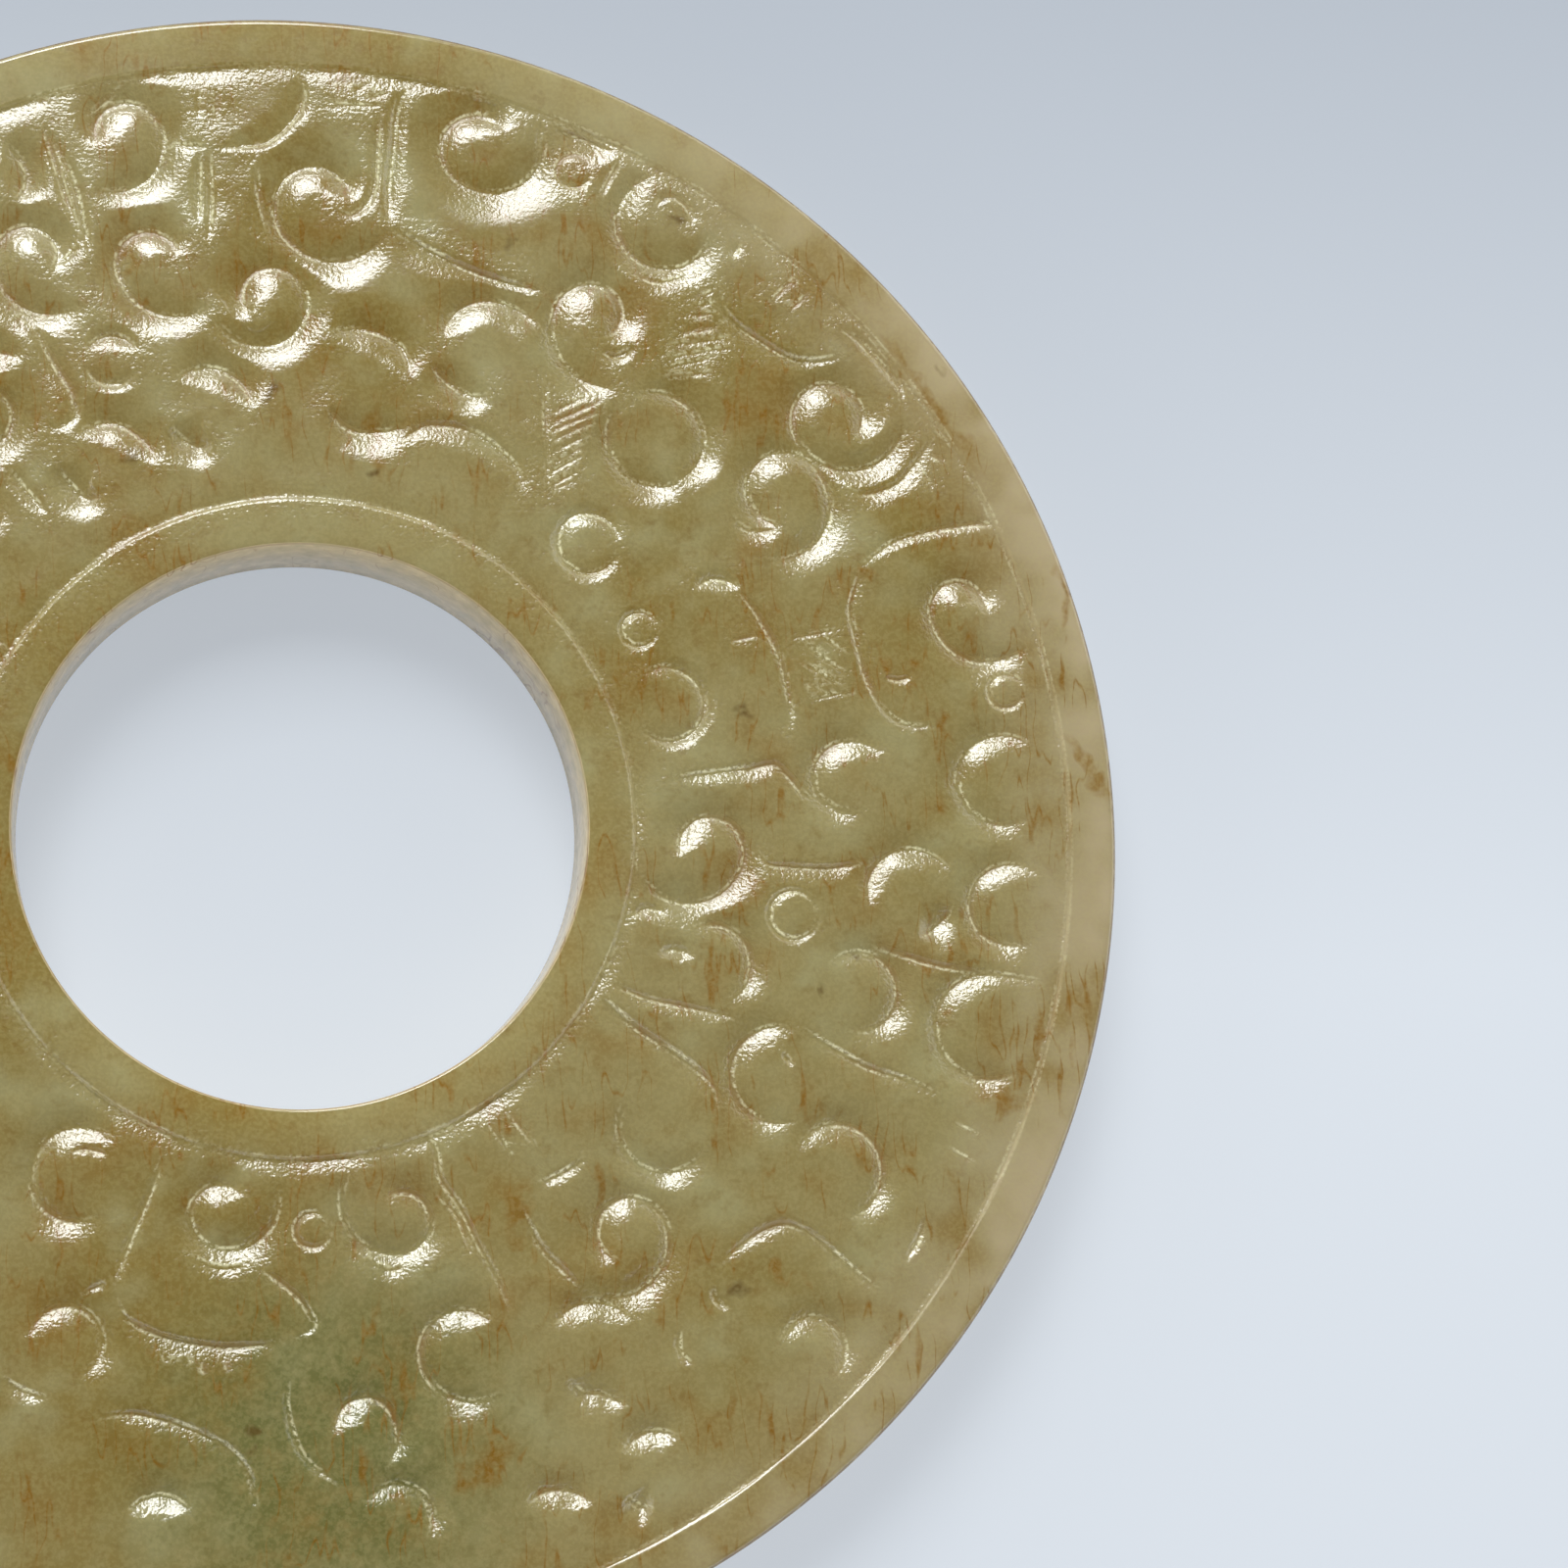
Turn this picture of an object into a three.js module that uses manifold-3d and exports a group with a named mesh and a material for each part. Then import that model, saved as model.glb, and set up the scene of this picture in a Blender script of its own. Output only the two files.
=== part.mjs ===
// Jade bi disc: a flat ring of nephrite with a plain rim round its edge and round its hole.
// The field between the rims is carved with interlaced curls and bands.
// Units are millimetres. The disc lies on its back: +Z comes out of its carved front.
// The origin is the centre of the back, on the plane that the disc rests on.
import * as THREE from "three";
import { mergeVertices } from "three/addons/utils/BufferGeometryUtils.js";
import Module from "manifold-3d";

const wasm = await Module();
wasm.setup();

// Sizes of the disc
const discRadius = 50;
const holeRadius = 16.9;
const thickness = 6.6;
const outerRimWidth = 3;
const innerRimWidth = 2.9;
const edgeChamfer = 0.35;

// Sizes of the cuts
const rimLineWidth = 0.9;
const rimLineDepth = 0.45;
const grooveWidth = 1.3;
const grooveDepth = 0.55;
const scoopWidth = 1.9;
const tickWidth = 0.5;
const tickDepth = 0.3;
const hatchSpacing = 1;
const backGrooveWidth = 1.1;
const backGrooveDepth = 0.4;

// How finely the curves are divided
const roundSegments = 48;
const stepLength = 2.6;
const backStepLength = 3.6;
const fewestSteps = 3;
const fewestRingSteps = 6;

// The cutters stand this far out of the face, so that no face of theirs lies in it.
const cutterRise = 0.2;

// The front's ornament is drawn on a ring between these two radii, with +Y up. The drawing keeps its
// proportions: place() moves each point of it to the same share of the disc's own field.
const drawnInnerRadius = 19.8;
const drawnOuterRadius = 47;
const fieldInnerRadius = holeRadius + innerRimWidth;
const fieldOuterRadius = discRadius - outerRimWidth;

// A curl is a round groove that pulls in to a hook where it starts and opens to a tail where it ends:
// its centre, its radius, its first and last angle in degrees, and the radii of the hook and the tail.
const outerCurls = [
  [-18.2, 39.3, 2.0, 75, -53],
  [-10.6, 42.0, 2.4, 200, -120, 1.4, 3.8],
  [1.7, 38.1, 3.2, 14, 339, 1.3, 3.8],
  [11.5, 42.3, 2.8, 42, 382, 1.5, 3.8],
  [22.6, 37.9, 3.0, 100, 349],
  [33.0, 25.3, 2.6, -43, 362, 1.4, 4.4],
  [40.8, 13.3, 2.0, -13, 331, 1.3, 4.6],
  [42.9, 2.6, 2.8, 50, 302],
  [43.1, -5.2, 2.5, 45, 298],
  [41.3, -12.7, 3.2, 60, 302],
  [31.7, -21.2, 2.8, 155, -85],
  [29.8, -31.8, 2.0, 166, -57],
  [20.2, -38.4, 2.4, 153, 52],
  [14.3, -42.0, 2.7, 135, 40],
];
const middleCurls = [
  [-15.9, 34.2, 2.2, -30, 318, 1.2, 3.6],
  [-8.6, 34.2, 2.3, 20, 318, 1.2, 4.2],
  [-1.9, 32.0, 2.3, 225, -162, 1.3, 3.5],
  [17.9, 31.4, 2.4, -61, 288, 1.1, 4.6],
  [21.8, 24.0, 3.2, 118, -46],
  [21.8, 24.0, 3.2, 141, 302],
  [29.8, 20.7, 2.6, 260, -106, 2.2, 4.4],
  [33.3, 2.8, 2.3, 35, 286],
  [36.8, -4.4, 2.7, 201, 26],
  [33.4, -10.4, 2.4, 140, -110],
  [28.2, -15.4, 2.9, 295, 66],
  [21.2, -18.3, 2.8, 150, 330],
  [18.9, -24.9, 2.4, 243, -130, 1.5, 4.0],
  [16.6, -31.5, 2.9, 149, 35],
  [16.6, -31.5, 2.6, 221, 305, 2.0, 3.7],
  [9.1, -31.2, 2.6, 50, 310, 2.2, 3.2],
  [3.0, -35.7, 2.2, 180, -60, 1.3, 2.4],
  [5.0, -40.7, 2.1, 150, -30],
  [-13.7, -29.9, 2.1, 171, -72],
  [-8.5, -40.6, 2.0, 150, 30],
];
const innerCurls = [
  [-13.0, -20.4, 2.7, 40, 300],
  [-4.6, -22.8, 2.2, 45, 395, 1.3, 3.3],
  [5.2, -23.4, 2.1, 126, -225, 1.4, 3.6],
  [24.3, -1.8, 2.3, 190, -162, 1.7, 4.2],
  [24.4, -8.6, 2.4, 130, -75],
  [11.4, 29.3, 3.2, 166, 11],
  [11.4, 29.3, 3.2, 195, 272],
  [3.9, 27.5, 2.9, 130, -2],
  [3.9, 27.5, 3.6, 222, 314],
  [-5.5, 25.2, 2.6, 140, 2],
  [-5.5, 25.2, 2.4, 207, 278],
  [-11.6, 21.6, 2.7, 133, 2],
  [-11.6, 21.6, 2.4, 182, 267],
];

// Small rings, all but closed, are the eyes between the bands: centre and radius.
const rings = [
  [16.9, 41.0, 1.1],
  [43.3, 8.2, 1.1],
  [20.3, 11.9, 1.1],
  [29.4, -5.7, 1.5],
  [17.3, 17.3, 1.9],
  [22.0, 7.3, 2.3],
  [-11.2, 28.1, 1.5],
];
const ringSweep = 345;

// A band's edge is a bow: its two ends, and how far its middle stands to the left of the straight line.
const bows = [
  [-5.0, 41.5, -0.1, 47.0, -1.4],
  [-14.9, 42.1, -12.2, 34.0, 0.5],
  [6.9, 46.3, 5.4, 37.0, 0.3],
  [26.7, 35.6, 31.9, 29.2, -1.6],
  [34.4, 15.9, 44.4, 15.5, -2.8],
  [26.5, 14.5, 29.6, 5.7, -0.9],
  [21.8, 2.6, 28.5, 3.6, 0.3],
  [28.5, 3.6, 33.9, 0.7, -0.7],
  [33.7, -7.3, 45.0, -10.0, 0.2],
  [29.5, -12.5, 38.0, -16.8, 0.5],
  [24.1, -26.6, 33.9, -28.5, 2.9],
  [-8.2, -19.4, -11.2, -27.0, -0.3],
  [6.8, -18.9, 11.8, -29.0, 0.8],
  [-12.0, -34.1, -3.0, -39.6, 1.9],
];

// A scoop is a bow with a wide slope on its right side, as seen from its first end.
const scoops = [
  [7.75, 45.2, 14.8, 38.3, -3.6],
  [5.4, 37.0, 15.3, 33.0, 0.2],
  [25.7, 33.5, 34.0, 29.6, -2.2],
  [32.7, 21.5, 39.4, 24.7, -1.9],
  [34.4, 15.9, 38.7, 6.0, -2.2],
  [5.6, 23.1, 13.6, 20.3, 2.6],
  [27.0, -1.4, 34.3, -2.4, -0.7],
  [17.0, -10.0, 24.6, -17.5, 1.4],
  [12.4, -23.0, 16.2, -27.9, 0.3],
  [-11.0, -27.3, -1.3, -30.3, -1.3],
];

// Hatched patches are rows of straight lines: the middle of the first line, the direction in which the
// rows follow, the direction of the lines, their length and how many there are.
const hatches = [
  [2.6, 45.2, 0, 40, 1.8, 4],
  [23.6, 28.6, 80, 12, 3.4, 5],
  [16.4, 21.6, 85, 28, 2.6, 6],
  [30.6, 10.2, -40, -45, 2.6, 4],
];

// Pairs of short ticks: the middle of the first, the direction to the second, their own direction.
const tickPairs = [
  [-6.1, 44.3, 0, 90],
  [30.0, 33.6, -45, 48],
  [39.6, -18.9, -100, -28],
  [12.7, -18.4, -60, -56],
];
const tickLength = 2.4;

// The edge of the photographed view hides the left of the disc and its lowest strip. The right side's
// motifs, turned by half a turn, fill the left, and those of the upper right fill the bottom.
const hiddenLeftEdge = -18.4;
const hiddenBottomEdge = -43.2;
const halfTurn = Math.PI;

// The back is plainer: rows of one curl, evenly spaced.
const backRows = 2;
const backCurlRadius = 3.4;
const backHookRadius = 1.7;
const backCurlPitch = 14;
const backCurlStart = 60;
const backCurlSweep = 290;

function toSolid(geometry) {
  geometry.deleteAttribute("normal");
  geometry.deleteAttribute("uv");
  const merged = mergeVertices(geometry, 1e-4);
  const mesh = new wasm.Mesh({
    numProp: 3,
    vertProperties: merged.attributes.position.array,
    triVerts: new Uint32Array(merged.index.array),
  });
  return new wasm.Manifold(mesh);
}

function toGeometry(manifold) {
  const { vertProperties, triVerts } = manifold.getMesh();
  const geometry = new THREE.BufferGeometry();
  geometry.setAttribute("position", new THREE.BufferAttribute(vertProperties, 3));
  geometry.setIndex(new THREE.BufferAttribute(triVerts, 1));
  geometry.computeVertexNormals();
  return geometry;
}

const polar = (radius, angle) =>
  new THREE.Vector2(radius * Math.cos(angle), radius * Math.sin(angle));

// Moves a point of the drawing to its share of the disc's own field.
function place(point) {
  const drawnShare = (point.length() - drawnInnerRadius) / (drawnOuterRadius - drawnInnerRadius);
  const radius = THREE.MathUtils.lerp(fieldInnerRadius, fieldOuterRadius, drawnShare);
  return point.clone().setLength(radius);
}

// The plan of a curl in the drawing, from its hook to its tail.
function curlPoints([x, y, radius, startDegrees, endDegrees, hook = radius, tail = radius]) {
  const hookShare = 0.3;
  const tailShare = 0.7;
  const start = THREE.MathUtils.degToRad(startDegrees);
  const sweep = THREE.MathUtils.degToRad(endDegrees - startDegrees);
  const count = 24;
  return Array.from({ length: count + 1 }, (_, i) => {
    const along = i / count;
    const pulledIn = (hook - radius) * (1 - THREE.MathUtils.smoothstep(along, 0, hookShare));
    const openedOut = (tail - radius) * THREE.MathUtils.smoothstep(along, tailShare, 1);
    const local = polar(radius + pulledIn + openedOut, start + sweep * along);
    return local.add(new THREE.Vector2(x, y));
  });
}

// The plan of a bow in the drawing: a flat curve through its ends and its raised middle.
function bowPoints([x0, y0, x1, y1, rise]) {
  const from = new THREE.Vector2(x0, y0);
  const to = new THREE.Vector2(x1, y1);
  const along = to.clone().sub(from).normalize();
  const left = new THREE.Vector2(-along.y, along.x);
  const middle = from.clone().lerp(to, 0.5).addScaledVector(left, 2 * rise);
  return new THREE.QuadraticBezierCurve(from, middle, to).getPoints(8);
}

// The plan of a straight line in the drawing, by its middle, direction and length.
function linePoints(middle, degrees, length) {
  const half = polar(length / 2, THREE.MathUtils.degToRad(degrees));
  return [middle.clone().sub(half), middle.clone().add(half)];
}

// A cutter of V section, swept along a plan. Its point runs depth below the face at the height given,
// and it opens to the widths given on its left and right. On the back, out is -1 and it is cut upwards.
function vCutter(plan, section) {
  const { left, right, depth, out = 1, face = thickness, step = stepLength, fewest = fewestSteps } = section;
  const curve = new THREE.CatmullRomCurve3(plan.map((p) => new THREE.Vector3(p.x, p.y, face)));
  const steps = plan.length > 2 ? Math.max(fewest, Math.round(curve.getLength() / step)) : 1;
  const spread = (depth + cutterRise) / depth;
  const outline = new THREE.Shape([
    new THREE.Vector2(-cutterRise * out, -right * spread),
    new THREE.Vector2(depth * out, 0),
    new THREE.Vector2(-cutterRise * out, left * spread),
  ]);
  return toSolid(new THREE.ExtrudeGeometry(outline, { steps, extrudePath: curve }));
}

const groove = { left: grooveWidth / 2, right: grooveWidth / 2, depth: grooveDepth };
const scoop = { left: grooveWidth / 2, right: scoopWidth, depth: grooveDepth };
const tick = { left: tickWidth / 2, right: tickWidth / 2, depth: tickDepth };
const eye = { ...tick, fewest: fewestRingSteps };
const backGroove = {
  left: backGrooveWidth / 2,
  right: backGrooveWidth / 2,
  depth: backGrooveDepth,
  face: 0,
  out: -1,
  step: backStepLength,
};

function hatchPlans([x, y, rowDegrees, lineDegrees, length, count]) {
  const next = polar(hatchSpacing, THREE.MathUtils.degToRad(rowDegrees));
  return Array.from({ length: count }, (_, i) =>
    linePoints(new THREE.Vector2(x, y).addScaledVector(next, i), lineDegrees, length),
  );
}

function tickPlans([x, y, pairDegrees, tickDegrees]) {
  const next = polar(hatchSpacing, THREE.MathUtils.degToRad(pairDegrees));
  const first = new THREE.Vector2(x, y);
  return [first, first.clone().add(next)].map((p) => linePoints(p, tickDegrees, tickLength));
}

// Every stroke of the drawing: its plan and the section it is cut with.
const shownStrokes = [
  ...[...outerCurls, ...middleCurls, ...innerCurls].map((c) => [curlPoints(c), groove]),
  ...rings.map(([x, y, r]) => [curlPoints([x, y, r, 0, ringSweep]), eye]),
  ...bows.map((b) => [bowPoints(b), groove]),
  ...scoops.map((s) => [bowPoints(s), scoop]),
  ...hatches.flatMap(hatchPlans).map((plan) => [plan, tick]),
  ...tickPairs.flatMap(tickPlans).map((plan) => [plan, tick]),
];

const middleOf = (plan) =>
  plan.reduce((sum, p) => sum.add(p), new THREE.Vector2()).divideScalar(plan.length);

// Copies of the shown grooves, turned about the disc's centre, that fall in a part that isn't shown.
// They leave out the finest cuts.
function turnedStrokes(angle, isHidden) {
  const centre = new THREE.Vector2();
  return shownStrokes
    .filter(([, section]) => section !== tick)
    .map(([plan, section]) => [plan.map((p) => p.clone().rotateAround(centre, angle)), section])
    .filter(([plan]) => isHidden(middleOf(plan)));
}

const strokes = [
  ...shownStrokes,
  ...turnedStrokes(halfTurn, (p) => p.x < hiddenLeftEdge),
  ...turnedStrokes(-halfTurn / 2, (p) => p.y < hiddenBottomEdge && p.x > hiddenLeftEdge),
];

// A closed ring turned from a profile of radius and height pairs, listed anticlockwise.
function turned(profile) {
  const points = profile.map(([radius, height]) => new THREE.Vector2(radius, height));
  const lathe = new THREE.LatheGeometry([...points, points[0].clone()], roundSegments);
  return toSolid(lathe.rotateX(Math.PI / 2));
}

// The three points of a rim line, from the smaller radius to the larger. Inward is +1 or -1.
const rimLine = (radius, face, inward) => [
  [radius - rimLineWidth / 2, face],
  [radius, face + inward * rimLineDepth],
  [radius + rimLineWidth / 2, face],
];

function blank() {
  return turned([
    [holeRadius + edgeChamfer, 0],
    ...rimLine(fieldInnerRadius, 0, 1),
    ...rimLine(fieldOuterRadius, 0, 1),
    [discRadius - edgeChamfer, 0],
    [discRadius, edgeChamfer],
    [discRadius, thickness - edgeChamfer],
    [discRadius - edgeChamfer, thickness],
    ...rimLine(fieldOuterRadius, thickness, -1).reverse(),
    ...rimLine(fieldInnerRadius, thickness, -1).reverse(),
    [holeRadius + edgeChamfer, thickness],
    [holeRadius, thickness - edgeChamfer],
    [holeRadius, edgeChamfer],
  ]);
}

// The space that the cutters may reach: the field alone, so that both rims stay plain.
const field = turned([
  [fieldInnerRadius, -cutterRise * 2],
  [fieldOuterRadius, -cutterRise * 2],
  [fieldOuterRadius, thickness + cutterRise * 2],
  [fieldInnerRadius, thickness + cutterRise * 2],
]);

function frontCuts() {
  const cutters = strokes.map(([plan, section]) => vCutter(plan.map(place), section));
  return cutters.reduce((all, cutter) => all.add(cutter)).intersect(field);
}

function backCuts() {
  const rowWidth = (fieldOuterRadius - fieldInnerRadius) / backRows;
  const cutters = [];
  for (let row = 0; row < backRows; row += 1) {
    const rowRadius = fieldInnerRadius + rowWidth * (row + 0.5);
    const count = Math.round((2 * Math.PI * rowRadius) / backCurlPitch);
    for (let i = 0; i < count; i += 1) {
      const angle = (2 * Math.PI * (i + row / 2)) / count;
      const centre = polar(rowRadius, angle);
      const start = THREE.MathUtils.radToDeg(angle) + backCurlStart;
      const curl = [centre.x, centre.y, backCurlRadius, start, start + backCurlSweep, backHookRadius];
      cutters.push(vCutter(curlPoints(curl), backGroove));
    }
  }
  return cutters.reduce((all, cutter) => all.add(cutter));
}

const jade = new THREE.MeshStandardMaterial({ color: 0x9a9360, roughness: 0.35, metalness: 0 });

function biDisc() {
  const carved = blank().subtract(frontCuts()).subtract(backCuts());
  const mesh = new THREE.Mesh(toGeometry(carved), jade);
  mesh.name = "bi_disc";
  return mesh;
}

const disc = new THREE.Group();
disc.add(biDisc());
export default disc;
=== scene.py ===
import math

import bmesh
import bpy
import numpy as np
from mathutils import Matrix, Vector


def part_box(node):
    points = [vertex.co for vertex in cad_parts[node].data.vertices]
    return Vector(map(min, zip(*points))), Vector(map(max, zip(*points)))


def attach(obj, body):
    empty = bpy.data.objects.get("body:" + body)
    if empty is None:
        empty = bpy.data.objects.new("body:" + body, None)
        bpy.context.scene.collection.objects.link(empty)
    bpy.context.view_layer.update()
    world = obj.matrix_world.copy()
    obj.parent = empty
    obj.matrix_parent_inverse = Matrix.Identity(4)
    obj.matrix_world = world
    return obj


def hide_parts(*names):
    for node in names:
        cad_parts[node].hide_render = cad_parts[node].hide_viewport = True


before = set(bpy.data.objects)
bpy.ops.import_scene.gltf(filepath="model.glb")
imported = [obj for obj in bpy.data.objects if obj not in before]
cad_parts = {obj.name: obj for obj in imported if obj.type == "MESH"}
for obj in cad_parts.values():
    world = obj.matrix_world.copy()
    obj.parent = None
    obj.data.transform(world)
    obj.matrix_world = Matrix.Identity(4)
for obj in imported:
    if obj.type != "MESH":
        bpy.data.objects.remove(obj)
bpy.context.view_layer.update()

# The disc is one flat ring, sawn and ground from a slab of olive-green nephrite. Its two faces keep a
# plain polished rim round the edge and round the hole, and its edges are rubbed slightly round.
mm = 0.001
disc_low, disc_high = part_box("bi_disc")
disc_radius = disc_high[0] / mm
disc_thickness = disc_high[2] / mm
hole_radius = 16.9
inner_rim_radius = 19.8
outer_rim_radius = 47.0
edge_width = 0.35
hole_edge_width = 0.16
edge_drop = 0.25
turn_steps = 256
refining_levels = 3
finished_triangles = 192000


def profile_run(start, end, count):
    """Evenly spaced points from start up to, but without, end."""
    return [tuple(np.array(start) + (np.array(end) - np.array(start)) * i / count) for i in range(count)]


def rounded_corner(radius, height, inward, up):
    """The middle point of a corner rubbed round; inward and up are the steps to its centre."""
    share = 1 - math.sqrt(0.5)
    return [(radius + inward * share, height + up * share)]


def blank_profile():
    """The section of the disc as radius and height pairs, from the hole's front edge outwards and round."""
    top = disc_thickness
    inner_top = (hole_radius + hole_edge_width, top)
    outer_top = (disc_radius - edge_width, top)
    outer_bottom = (disc_radius - edge_width, 0.0)
    inner_bottom = (hole_radius + hole_edge_width, 0.0)
    points = profile_run(inner_top, (inner_rim_radius - 0.4, top), 1)
    points += profile_run((inner_rim_radius - 0.4, top), (outer_rim_radius + 0.4, top), 30)
    points += profile_run((outer_rim_radius + 0.4, top), outer_top, 1)
    points += [outer_top] + rounded_corner(disc_radius, top, -edge_width, -edge_drop)
    points += profile_run((disc_radius, top - edge_drop), (disc_radius, edge_drop), 1)
    points += [(disc_radius, edge_drop)] + rounded_corner(disc_radius, 0.0, -edge_width, edge_drop)
    points += profile_run(outer_bottom, (outer_rim_radius + 0.4, 0.0), 1)
    points += profile_run((outer_rim_radius + 0.4, 0.0), (inner_rim_radius - 0.4, 0.0), 8)
    points += profile_run((inner_rim_radius - 0.4, 0.0), inner_bottom, 1)
    points += [inner_bottom] + rounded_corner(hole_radius, 0.0, hole_edge_width, edge_drop)
    points += profile_run((hole_radius, edge_drop), (hole_radius, top - edge_drop), 1)
    points += [(hole_radius, top - edge_drop)] + rounded_corner(hole_radius, top, hole_edge_width, -edge_drop)
    return points


def fine_blank():
    """The turned blank as a fine grid, in millimetres, ready to be carved."""
    bm = bmesh.new()
    ring = [bm.verts.new((radius, 0.0, height)) for radius, height in blank_profile()]
    rim = [bm.edges.new(pair) for pair in zip(ring, ring[1:] + ring[:1])]
    bmesh.ops.spin(bm, geom=ring + rim, cent=(0, 0, 0), axis=(0, 0, 1), angle=2 * math.pi,
                   steps=turn_steps, use_merge=True)
    bmesh.ops.recalc_face_normals(bm, faces=bm.faces)
    mesh = bpy.data.meshes.new("blank")
    bm.to_mesh(mesh)
    bm.free()
    blank = bpy.data.objects.new("blank", mesh)
    bpy.context.collection.objects.link(blank)
    refine = blank.modifiers.new("refine", "SUBSURF")
    refine.subdivision_type = "SIMPLE"
    refine.levels = refining_levels
    refine.render_levels = refining_levels
    return blank


def finished_mesh(worker):
    """The worker's mesh with its modifiers applied. The worker is then taken away."""
    graph = bpy.context.evaluated_depsgraph_get()
    mesh = bpy.data.meshes.new_from_object(worker.evaluated_get(graph))
    bpy.data.objects.remove(worker)
    return mesh


def vertex_places(mesh):
    places = np.empty(len(mesh.vertices) * 3)
    mesh.vertices.foreach_get("co", places)
    return places.reshape(-1, 3)


# The carving is cut into the field between the rims with a tube drill and abrasive: grooves that fall
# steeply from round-backed bands and curls. The drawing is in millimetres, +Y towards the photo's top.
def curl(x, y, radius, start, end, hook=None, tail=None, inner=2.0, outer=2.2, depth=0.57):
    """A round groove from its hook to its tail, the wider slope on its inner side."""
    along = np.linspace(0, 1, 48)
    hook_share = np.clip(1 - along / 0.42, 0, 1) ** 1.3
    tail_share = np.clip((along - 0.65) / 0.35, 0, 1) ** 1.5
    reach = radius + ((hook or radius) - radius) * hook_share + ((tail or radius) - radius) * tail_share
    angle = np.radians(start + (end - start) * along)
    path = np.stack([x + reach * np.cos(angle), y + reach * np.sin(angle)], axis=1)
    left, right = (inner, outer) if end > start else (outer, inner)
    return {"path": path, "left": left, "right": right, "depth": depth, "run_in": 2.0 if hook else 3.4}


def line(*points, left=1.0, right=1.0, depth=None):
    """A groove through a few points, in one smooth sweep, with the slopes to its left and right."""
    depth = depth or 0.16 + 0.13 * max(left, right)
    knots = np.array([points[0], *points, points[-1]], dtype=float)
    path = []
    for p0, p1, p2, p3 in zip(knots, knots[1:], knots[2:], knots[3:]):
        for t in np.linspace(0, 1, 9)[:-1]:
            path.append(0.5 * (2 * p1 + (p2 - p0) * t + (2 * p0 - 5 * p1 + 4 * p2 - p3) * t ** 2
                               + (3 * p1 - p0 - 3 * p2 + p3) * t ** 3))
    path.append(knots[-1])
    return {"path": np.array(path), "left": left, "right": right, "depth": depth}


def tick(x0, y0, x1, y1, depth=0.1):
    """A short straight cut of the graver."""
    return {"path": np.array([[x0, y0], [x1, y1]], dtype=float), "left": 0.22, "right": 0.22, "depth": depth}


outer_row = [
    curl(-18.2, 39.3, 2.0, 75, -53),
    curl(-10.6, 42.0, 2.4, 200, -120, 1.4, 3.8),
    curl(1.7, 38.1, 3.2, 14, 339, 1.25, 3.85),
    curl(11.5, 42.3, 2.8, 42, 382, 1.5, 3.8, outer=3.2),
    curl(22.6, 37.9, 3.0, 100, 349),
    curl(22.6, 37.9, 1.7, 130, -10, 0.9, 1.7, inner=0.5, outer=0.5, depth=0.2),
    curl(33.0, 25.3, 2.6, -43, 362, 1.4, 4.6),
    curl(40.8, 13.3, 2.0, -13, 331, 1.3, 4.6),
    curl(42.9, 2.6, 2.8, 50, 302),
    curl(43.1, -5.2, 2.5, 45, 298),
    curl(41.3, -12.7, 3.2, 60, 302),
    curl(31.7, -21.2, 2.8, 155, -85),
    curl(29.8, -31.8, 1.95, 166, -57),
    curl(20.2, -38.4, 2.2, 153, 52),
    curl(20.2, -38.4, 2.3, 218, 264),
    curl(14.3, -42.0, 2.7, 135, 40),
]
middle_row = [
    curl(-15.9, 34.2, 2.2, -30, 318, 1.2, 4.2),
    curl(-8.6, 34.2, 2.3, 20, 318, 1.2, 4.2),
    curl(-1.9, 32.0, 2.3, 225, -162, 1.3, 3.5),
    curl(17.9, 31.4, 2.4, -61, 288, 1.05, 4.6),
    curl(21.8, 24.0, 2.9, 118, -76),
    curl(21.8, 24.0, 3.1, 141, 302),
    curl(29.8, 20.7, 2.6, 260, -106, 2.2, 4.6),
    curl(33.3, 2.75, 2.3, 35, 286),
    curl(36.8, -4.4, 2.7, 201, 26),
    curl(36.8, -4.4, 2.6, -83, -15),
    curl(33.4, -10.4, 2.4, 140, -110),
    curl(28.2, -15.4, 2.9, 295, 66),
    curl(21.2, -18.3, 2.8, 150, 330),
    curl(18.9, -24.9, 2.4, 243, -130, 1.45, 4.0),
    curl(16.6, -31.5, 2.9, 149, 35),
    curl(16.6, -31.5, 2.4, 221, 305, 2.0, 3.7),
    curl(9.1, -31.2, 2.6, 50, 310, 2.2, 3.2),
    curl(3.0, -35.7, 2.15, 180, -60, 1.3, 2.3),
    curl(5.0, -40.7, 2.1, 150, -30),
    curl(-13.7, -29.9, 2.05, 171, -72),
    curl(-8.5, -40.6, 1.9, 150, 30),
]
inner_row = [
    curl(-13.0, -20.4, 2.7, 40, 300),
    curl(-4.6, -22.8, 2.15, 45, 395, 1.25, 3.3),
    curl(5.2, -23.4, 2.05, 126, -225, 1.35, 4.0),
    curl(24.3, -1.8, 2.3, 190, -162, 1.7, 4.6),
    curl(24.4, -8.6, 2.4, 130, -75),
    curl(11.4, 29.3, 3.2, 166, 11, 2.9, 3.6),
    curl(11.4, 29.3, 3.1, 195, 272, 3.6, 2.8),
    curl(3.9, 27.5, 2.9, 130, -2, 3.3, 2.5),
    curl(3.9, 27.5, 3.5, 222, 314, 3.0, 4.2),
    curl(-5.5, 25.2, 2.6, 140, 2),
    curl(-5.5, 25.2, 2.4, 207, 278, 2.6, 2.2),
    curl(-11.6, 21.6, 2.7, 133, 2, 2.3, 3.1),
    curl(-11.6, 21.6, 2.3, 182, 267, 2.9, 1.8),
]
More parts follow.
